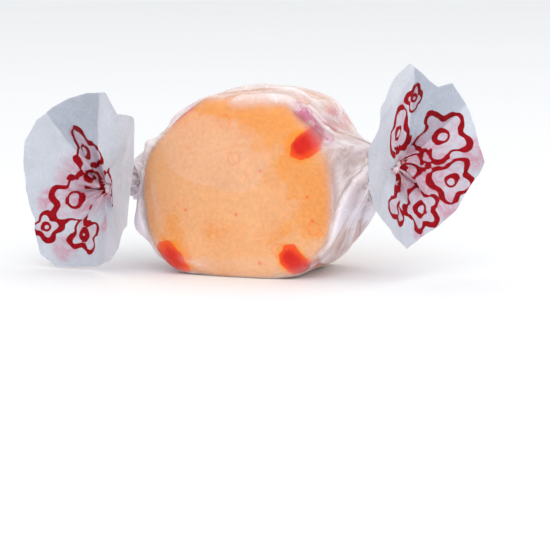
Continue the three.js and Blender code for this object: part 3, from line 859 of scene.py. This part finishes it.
    def build(self):
        """Points, faces and the values that the material reads."""
        halves = []
        for number, (name, fan) in enumerate(FANS.items()):
            rng = np.random.default_rng(self.paper.seed + number)
            points, flat, slant = self.half_sheet(fan)
            points, pile = self.folded(points, slant)
            points = self.crumpled(points, slant)
            points, pile = self.broad_pleats(name, points, slant, pile)
            points = self.pleated(fan, points, slant, rng)
            points = self.creased(points, flat, slant, rng)
            points, lift = self.cleared(points, slant)
            line, ghost = self.printed(name, flat)
            line = np.where(slant > 0.2, line, FAR)
            scrap = 1.5 * ramp(inside_patches(points, PRINT_PATCHES), -0.4, 0.3)
            scrap = scrap * (1 - ramp(points[..., 1], *SCRAP_ENDS))
            ghost = np.where(slant > 0, ghost * ramp(slant, -0.2, 0.6), scrap)
            halves.append([points, slant, lift, line, ghost, pile])
        joined = [np.concatenate([left[:0:-1], right]) for left, right in zip(*halves)]
        points, slant, lift, line, ghost, pile = joined
        loose = np.where(slant > 0, 1.0, np.maximum(self.off_faces(points), ramp(lift, 0.25, 0.75)))
        rows, columns = lift.shape
        corner = (np.arange(rows - 1)[:, None] * columns + np.arange(columns - 1)).ravel()
        faces = np.stack([corner, corner + 1, corner + columns + 1, corner + columns], -1)
        steps = np.linalg.norm(np.diff(points, axis=0), axis=-1).mean(1)
        along = np.concatenate([[0.0], np.cumsum(steps)])[:, None] + 0 * lift
        sheet = np.stack([self.across + 0 * lift, along, 0 * lift], -1)
        values = {"lift": lift, "loose": loose, "line": line, "ghost": ghost, "sheet": sheet,
                  "pile": pile, "spread": ramp(slant, -0.5, 2.5),
                  "wet": inside_patches(points, WET_PATCHES),
                  "hazy": inside_patches(points, HAZY_PATCHES),
                  "over_strip": self.near_strips(points)}
        return points, faces, values


# ---- Materials ------------------------------------------------------------------------------------

def add(tree, kind, inputs=None, **settings):
    """Adds a shader node, with its settings, and its inputs as values or as sockets to link."""
    made = tree.nodes.new("ShaderNode" + kind)
    for name, value in settings.items():
        setattr(made, name, value)
    for name, value in (inputs or {}).items():
        if isinstance(value, bpy.types.NodeSocket):
            tree.links.new(value, made.inputs[name])
        else:
            made.inputs[name].default_value = value
    return made


def maths(tree, operation, *values):
    return add(tree, "Math", dict(enumerate(values)), operation=operation).outputs[0]


def times(tree, first, second):
    return maths(tree, "MULTIPLY", first, second)


def plus(tree, base, extra, share=1.0):
    """The base with this share of something extra on top."""
    return maths(tree, "MULTIPLY_ADD", extra, share, base)


def blend_colours(tree, share, first, second):
    """Mix of two colours: sockets, or plain colours of three numbers."""
    made = tree.nodes.new("ShaderNodeMix")
    made.data_type = "RGBA"
    for place, value in ((0, share), (6, first), (7, second)):
        if isinstance(value, bpy.types.NodeSocket):
            tree.links.new(value, made.inputs[place])
        elif place:
            made.inputs[place].default_value = (*value, 1.0)
        else:
            made.inputs[place].default_value = value
    return made.outputs[2]


def rise(tree, value, start, end, low=0.0, high=1.0):
    """The value taken smoothly from low at start to high at end."""
    made = add(tree, "MapRange", {"Value": value, "From Min": start, "From Max": end,
                                  "To Min": low, "To Max": high}, interpolation_type="SMOOTHSTEP")
    return made.outputs[0]


def noise(tree, coordinates, scale, detail=2.0, roughness=0.5, distortion=0.0):
    made = add(tree, "TexNoise", {"Vector": coordinates, "Scale": scale, "Detail": detail,
                                  "Roughness": roughness, "Distortion": distortion})
    return made.outputs["Fac"]


def swing(tree, coordinates, reach, *shape):
    """Noise that goes up and down round zero, within this reach."""
    return maths(tree, "MULTIPLY_ADD", noise(tree, coordinates, *shape), 2 * reach, -reach)


def cell_edges(tree, coordinates, scale, width, breaks, least, fade):
    """Fine straight lines along the edges of random cells, shown where the breaks' noise passes the
    least value."""
    cells = add(tree, "TexVoronoi", {"Vector": coordinates, "Scale": scale},
                feature="DISTANCE_TO_EDGE", voronoi_dimensions="2D")
    line = rise(tree, cells.outputs["Distance"], width, 0.0)
    return times(tree, line, rise(tree, breaks, least, least + fade))


def value_of(tree, name):
    return add(tree, "Attribute", attribute_name=name).outputs["Fac"]


def vector_of(tree, name):
    return add(tree, "Attribute", attribute_name=name).outputs["Vector"]


def new_material(name):
    material = bpy.data.materials.new(name)
    material.use_nodes = True
    tree = material.node_tree
    tree.nodes.clear()
    return material, tree


def millimetres(tree):
    """The piece's own coordinates, in millimetres."""
    place = add(tree, "TexCoord").outputs["Object"]
    return add(tree, "VectorMath", {0: place, "Scale": 1 / MM}, operation="SCALE").outputs[0]


def facing_plane(tree, place):
    """The coordinates seen from the front: across and up."""
    parts = add(tree, "SeparateXYZ", {0: place}).outputs
    return add(tree, "CombineXYZ", {0: parts[0], 1: parts[2]}).outputs[0]


def taffy_shader(tree, place, base):
    """Faintly waxy, soft surface with a fine grain."""
    grain = noise(tree, place, 1.4, 5.0, 0.65)
    fine = rise(tree, noise(tree, place, 2.2, 4.0, 0.75), 0.3, 0.7, 0.90, 1.08)
    skin = add(tree, "HueSaturation", {"Color": base, "Value": fine})
    bump = add(tree, "Bump", {"Strength": 0.3, "Distance": 0.00012, "Height": grain})
    surface = add(tree, "BsdfPrincipled", {
        "Base Color": skin.outputs[0], "Roughness": rise(tree, grain, 0.3, 0.7, 0.42, 0.56),
        "Normal": bump.outputs[0], "IOR": 1.46, "Specular IOR Level": 0.15,
        "Subsurface Weight": 0.15, "Subsurface Scale": 0.0007, "Subsurface Radius": (1.0, 0.55, 0.25)})
    add(tree, "OutputMaterial", {"Surface": surface.outputs[0]})


def body_material(sweet):
    material, tree = new_material("taffy_body")
    place = millimetres(tree)
    front = facing_plane(tree, place)
    ragged = swing(tree, place, 3.5, 0.30, 4.0, 0.6, 0.8)
    patches = rise(tree, plus(tree, ragged, value_of(tree, "deep")), -3.0, 2.2)
    cream = rise(tree, noise(tree, place, 0.09, 3.0, 0.5, 0.4), 0.48, 0.66)
    tone = blend_colours(tree, times(tree, cream, 0.6), tuple(sweet.body), tuple(sweet.cream))
    tone = blend_colours(tree, times(tree, patches, 0.9), tone, tuple(sweet.deep))
    bled = plus(tree, value_of(tree, "bled"), noise(tree, place, 0.4, 2.0), 2.4)
    halo = rise(tree, bled, 0.1, 1.3)
    cloudy = rise(tree, noise(tree, place, 0.5, 2.0), 0.3, 0.7, 0.35, 0.95)
    tone = blend_colours(tree, times(tree, halo, cloudy), tone, tuple(sweet.halo))
    # Specks of strip colour, and the rims of small bubbles. For each: the scale of the cells that hold
    # one, the ring's radius in a cell (none for a speck), how far from it the colour fades out and is
    # full, the share of cells without one, and its strength.
    for scale, ring, far, near, without, strength in ((0.30, 0.0, 0.09, 0.03, 0.70, 0.70),
                                                      (0.16, 0.13, 0.03, 0.01, 0.55, 0.26)):
        cells = add(tree, "TexVoronoi", {"Vector": front, "Scale": scale}, voronoi_dimensions="2D")
        away = maths(tree, "ABSOLUTE", maths(tree, "SUBTRACT", cells.outputs["Distance"], ring))
        drawn = add(tree, "SeparateColor", {0: cells.outputs["Color"]}).outputs[0]
        shown = times(tree, rise(tree, away, far, near), maths(tree, "GREATER_THAN", drawn, without))
        tone = blend_colours(tree, times(tree, shown, strength), tone, tuple(sweet.strip_edge))
    # Short fine creases left by the pulling.
    for scale, width, least in ((0.17, 0.022, 0.54), (0.33, 0.028, 0.59)):
        breaks = noise(tree, front, 1.3 * scale, 2.0)
        line = cell_edges(tree, front, scale, width, breaks, least, 0.04)
        tone = blend_colours(tree, times(tree, line, 0.75), tone, tuple(sweet.halo))
    taffy_shader(tree, place, tone)
    return material


def strip_material(sweet):
    material, tree = new_material("taffy_strip")
    place = millimetres(tree)
    cloudy = noise(tree, place, 0.45, 2.0, 0.5, 0.4)
    edge = rise(tree, plus(tree, value_of(tree, "bled"), cloudy, 0.5), 1.15, 0.2)
    tone = blend_colours(tree, edge, tuple(sweet.strip), tuple(sweet.strip_edge))
    tone = blend_colours(tree, value_of(tree, "buried"), tone, tuple(sweet.body))
    taffy_shader(tree, place, tone)
    return material


def crease_lines(tree, sheet):
    """Fine lines left where the paper was crushed, in two sizes, broken up by a slow noise."""
    bent = add(tree, "TexNoise", {"Vector": sheet, "Scale": 0.35, "Detail": 1.0})
    place = add(tree, "VectorMath", {0: bent.outputs["Color"], 1: (1.5, 1.5, 0.0), 2: sheet},
                operation="MULTIPLY_ADD").outputs[0]
    total = 0.0
    for scale, width, least in ((0.20, 0.022, 0.42), (0.42, 0.028, 0.48)):
        breaks = noise(tree, sheet, 0.9 * scale, 1.0)
        total = maths(tree, "MAXIMUM", total,
                      cell_edges(tree, place, scale, width, breaks, least, 0.08))
    return total


def paper_material(paper):
    """Waxed paper: nearly clear where it clings to the sweet, whitish where it stands off it."""
    material, tree = new_material("waxed_paper")
    sheet = vector_of(tree, "sheet")
    place = millimetres(tree)
    lift = value_of(tree, "lift")
    loose = value_of(tree, "loose")
    over_strip = value_of(tree, "over_strip")
    fibres = noise(tree, sheet, 2.6, 4.0, 0.7)
    fibrous = rise(tree, fibres, 0.2, 0.8, 0.93, 1.07)
    # The print: lines of uneven weight, and what shows of it through the paper.
    weight = rise(tree, noise(tree, sheet, 0.35, 1.0), 0.36, 0.64, 0.16, 0.44)
    ink = rise(tree, maths(tree, "SUBTRACT", weight, value_of(tree, "line")), -0.03, 0.05)
    through = times(tree, value_of(tree, "ghost"),
                    rise(tree, noise(tree, sheet, 0.7, 3.0, 0.6, 0.6), 0.36, 0.60, 0.35, 1.0))
    # Its colour, lighter along the creases, where the wax has cracked.
    crease = crease_lines(tree, sheet)
    level = add(tree, "SeparateXYZ", {0: place}).outputs[2]
    layered = times(tree, rise(tree, level, 13.0, 7.0), rise(tree, lift, 0.1, 1.5))
    # Round the sweet and in the necks the paper takes the brighter warm copy, which is partly painted light
    # that lifts these shaded parts and partly the whiter look of gathered layers; low on the tents it turns
    # to the layered tone, and out in the fans to the plain paper.
    tone = blend_colours(tree, layered, tuple(paper.brightened_paper), tuple(paper.cool))
    tone = blend_colours(tree, value_of(tree, "spread"), tone, tuple(paper.paper))
    clouds = rise(tree, noise(tree, sheet, 0.16, 3.0, 0.55), 0.25, 0.75, 0.92, 1.06)
    value = plus(tree, times(tree, clouds, fibrous), crease, 0.15)
    light = add(tree, "HueSaturation", {"Color": tone, "Value": value})
    tone = blend_colours(tree, times(tree, through, 0.72), light.outputs[0], tuple(paper.ghost))
    mottled = rise(tree, noise(tree, sheet, 1.6, 3.0, 0.6), 0.35, 0.65, 0.80, 1.30)
    inked = add(tree, "HueSaturation", {"Color": (*paper.ink, 1.0), "Value": mottled})
    tone = blend_colours(tree, ink, tone, inked.outputs[0])
    # How much it hides of what lies behind it: on the two faces, round the sweet, and then what its
    # lift, its folds, its layers and the print add.
    ragged = swing(tree, place, 3.5, 0.34, 4.0, 0.6, 0.8)
    curved = swing(tree, place, 1.2, 0.13, 1.0, 0.4, 0.3)
    wet = rise(tree, plus(tree, ragged, value_of(tree, "wet")), -0.8, 0.6)
    hazy = rise(tree, plus(tree, curved, value_of(tree, "hazy")), -0.12, 0.12)
    face = plus(tree, rise(tree, wet, 0.0, 1.0, 0.10, 0.03), hazy, 0.07)
    face = times(tree, face, rise(tree, over_strip, -0.9, 0.0, 1.0, 0.06))
    side = rise(tree, noise(tree, sheet, 0.20, 3.0, 0.55, 0.4), 0.36, 0.62, 0.26, 0.60)
    side = times(tree, side, rise(tree, over_strip, -0.6, 0.3, 1.0, 0.35))
    cover = add(tree, "Mix", {0: loose, 2: face, 3: side}).outputs[0]
    piled = times(tree, rise(tree, value_of(tree, "pile"), -0.06, 0.06), loose)
    for extra, share in ((rise(tree, lift, 0.12, 1.0), 0.26), (rise(tree, lift, 1.5, 5.0), 0.34),
                         (piled, 0.15), (layered, 0.26), (through, 0.20)):
        cover = plus(tree, cover, extra, share)
    cracked = times(tree, crease, rise(tree, loose, 0.0, 1.0, 0.02, 0.12))
    cover = plus(tree, cracked, cover, fibrous)
    cover = maths(tree, "MAXIMUM", maths(tree, "MINIMUM", cover, 0.97), ink)
    height = plus(tree, times(tree, crease, 0.6), fibres, 0.35)
    bump = add(tree, "Bump", {"Strength": 0.4, "Distance": 0.00015, "Height": height})
    surface = add(tree, "BsdfPrincipled", {"Base Color": tone, "Roughness": 0.45, "IOR": 1.45,
                                           "Specular IOR Level": 0.15, "Normal": bump.outputs[0]})
    glow = add(tree, "BsdfTranslucent", {"Color": tone, "Normal": bump.outputs[0]})
    share = rise(tree, value_of(tree, "spread"), 0.0, 1.0, 0.10, 0.50)
    body = add(tree, "MixShader", {0: share, 1: surface.outputs[0], 2: glow.outputs[0]})
    clear = add(tree, "BsdfTransparent")
    whole = add(tree, "MixShader", {0: cover, 1: clear.outputs[0], 2: body.outputs[0]})
    add(tree, "OutputMaterial", {"Surface": whole.outputs[0]})
    return material


def floor_material(studio):
    material, tree = new_material("studio_floor")
    place = add(tree, "TexCoord").outputs["Object"]
    cloud = rise(tree, noise(tree, place, 9.0, 3.0), 0.3, 0.7, 0.985, 1.0)
    tone = add(tree, "HueSaturation", {"Color": (*studio.floor, 1.0), "Value": cloud})
    matt = add(tree, "BsdfPrincipled", {"Base Color": tone.outputs[0], "Roughness": 0.9,
                                        "Specular IOR Level": 0.1})
    add(tree, "OutputMaterial", {"Surface": matt.outputs[0]})
    return material


# ---- Operators ------------------------------------------------------------------------------------

class TAFFY_OT_studio(Operator):
    """Make the floor, the soft lights and the camera"""
    bl_idname = "taffy.studio"
    bl_label = "Studio"

    def execute(self, context):
        scene = context.scene
        studio = scene.taffy_studio
        self.add_floor(scene, studio)
        self.add_camera(scene, studio)
        self.add_lights(scene)
        scene.view_settings.view_transform = "Standard"
        return {"FINISHED"}

    def add_floor(self, scene, studio):
        mesh = bpy.data.meshes.new("studio_floor")
        shape = bmesh.new()
        bmesh.ops.create_circle(shape, cap_ends=True, segments=96, radius=FLOOR_RADIUS)
        shape.to_mesh(mesh)
        shape.free()
        floor = bpy.data.objects.new("studio_floor", mesh)
        scene.collection.objects.link(floor)
        mesh.materials.append(floor_material(studio))

    def add_camera(self, scene, studio):
        """Looks along the photograph's line of sight, turned so that the sweet's middle keeps its
        place in the picture."""
        lens = studio.focal_length / SENSOR_WIDTH * PICTURE_PIXELS
        right, up = MIDDLE_PIXELS
        middle = Vector((0, 0, centre_height(scene.taffy_sweet)))
        turn, rise_angle = studio.camera_turn, studio.camera_rise
        back = Vector((math.sin(turn) * math.cos(rise_angle), -math.cos(turn) * math.cos(rise_angle),
                       math.sin(rise_angle)))
        data = bpy.data.cameras.new("camera")
        data.lens = studio.focal_length
        data.sensor_width = SENSOR_WIDTH
        data.clip_start = 0.01
        data.clip_end = 20
        camera = bpy.data.objects.new("camera", data)
        scene.collection.objects.link(camera)
        camera.location = middle + back * studio.camera_distance
        pitch = math.pi / 2 - rise_angle - math.atan(up / lens)
        camera.rotation_euler = Euler((pitch, 0, turn + math.atan(right / lens)), "XYZ")
        scene.camera = camera

    def add_lights(self, scene):
        world = bpy.data.worlds.new("studio")
        scene.world = world
        world.use_nodes = True
        sky = world.node_tree.nodes["Background"]
        sky.inputs["Color"].default_value, sky.inputs["Strength"].default_value = SKY
        for name, light in LIGHTS.items():
            self.add_light(scene, name, *light)

    def add_light(self, scene, name, place, size, power, tint):
        data = bpy.data.lights.new(name, "AREA")
        data.shape = "DISK"
        data.size = size
        data.energy = power
        data.color = tint
        light = bpy.data.objects.new(name, data)
        scene.collection.objects.link(light)
        light.location = place
        light.rotation_euler = (-Vector(place)).to_track_quat("-Z", "Y").to_euler()


class TAFFY_OT_sweet(Operator):
    """Make the pulled sweet and the strips that run through it"""
    bl_idname = "taffy.sweet"
    bl_label = "Sweet and strips"

    def execute(self, context):
        sweet = context.scene.taffy_sweet
        whole = bare_object("log", *log_mesh(sweet))
        tight, loose = ([bare_object("tool", *strip_tool(sweet, number, grown))
                         for number in range(len(STRIPS))] for grown in (0.0, STRIP_GAP))
        body = sweet_piece("taffy", cut(whole, loose, "DIFFERENCE"), sweet)
        self.finish(body, sweet, "taffy", body_material(sweet), "taffy_body")
        strip_look = strip_material(sweet)
        for number, (strip, tool) in enumerate(zip(STRIPS, tight), 1):
            piece = sweet_piece(f"strip_{number}", cut(whole, [tool], "INTERSECT"), sweet)
            points = points_of(piece.data, centre_height(sweet))
            write_values(piece.data, "buried", under_smear(sweet, points, strip))
            self.finish(piece, sweet, "taffy_strip", strip_look, strip.node)
        for helper in [whole, *tight, *loose]:
            bpy.data.objects.remove(helper)
        return {"FINISHED"}

    def finish(self, piece, sweet, slot, material, node):
        points = points_of(piece.data, centre_height(sweet))
        write_values(piece.data, "bled", near_strip(sweet, points))
        write_values(piece.data, "deep", inside_patches(points, WET_PATCHES))
        finish_piece(piece, slot, material, node)


class TAFFY_OT_wrapper(Operator):
    """Make the sheet of waxed paper, rolled, twisted and fanned out"""
    bl_idname = "taffy.wrapper"
    bl_label = "Waxed paper"

    def execute(self, context):
        sweet, paper = context.scene.taffy_sweet, context.scene.taffy_paper
        points, faces, values = Sheet(sweet, paper).build()
        piece = mesh_object("waxed_paper", points.reshape(-1, 3), faces, centre_height(sweet))
        for name, numbers in values.items():
            flat = numbers.reshape(-1, 3) if numbers.ndim == 3 else numbers.ravel()
            write_values(piece.data, name, flat)
        finish_piece(piece, "waxed_paper", paper_material(paper), "paper_wrapper")
        return {"FINISHED"}


class TAFFY_PT_pieces(Panel):
    """Lists the pieces of the wrapped sweet"""
    bl_label = "Wrapped taffy"
    bl_space_type = "VIEW_3D"
    bl_region_type = "UI"
    bl_category = "Taffy"

    def draw(self, context):
        groups = ((context.scene.taffy_sweet, TAFFY_OT_sweet),
                  (context.scene.taffy_paper, TAFFY_OT_wrapper),
                  (context.scene.taffy_studio, TAFFY_OT_studio))
        for group, operator in groups:
            box = self.layout.box()
            for name in group.__annotations__:
                box.prop(group, name)
            box.operator(operator.bl_idname)


CLASSES = (TaffySweet, TaffyPaper, TaffyStudio, TAFFY_OT_studio, TAFFY_OT_sweet, TAFFY_OT_wrapper,
           TAFFY_PT_pieces)


def register():
    for made in CLASSES:
        bpy.utils.register_class(made)
    bpy.types.Scene.taffy_sweet = PointerProperty(type=TaffySweet)
    bpy.types.Scene.taffy_paper = PointerProperty(type=TaffyPaper)
    bpy.types.Scene.taffy_studio = PointerProperty(type=TaffyStudio)


def unregister():
    del bpy.types.Scene.taffy_studio
    del bpy.types.Scene.taffy_paper
    del bpy.types.Scene.taffy_sweet
    for made in reversed(CLASSES):
        bpy.utils.unregister_class(made)


def main():
    """Makes the pieces in order."""
    register()
    bpy.ops.taffy.studio()
    bpy.ops.taffy.sweet()
    bpy.ops.taffy.wrapper()


if __name__ == "__main__":
    main()
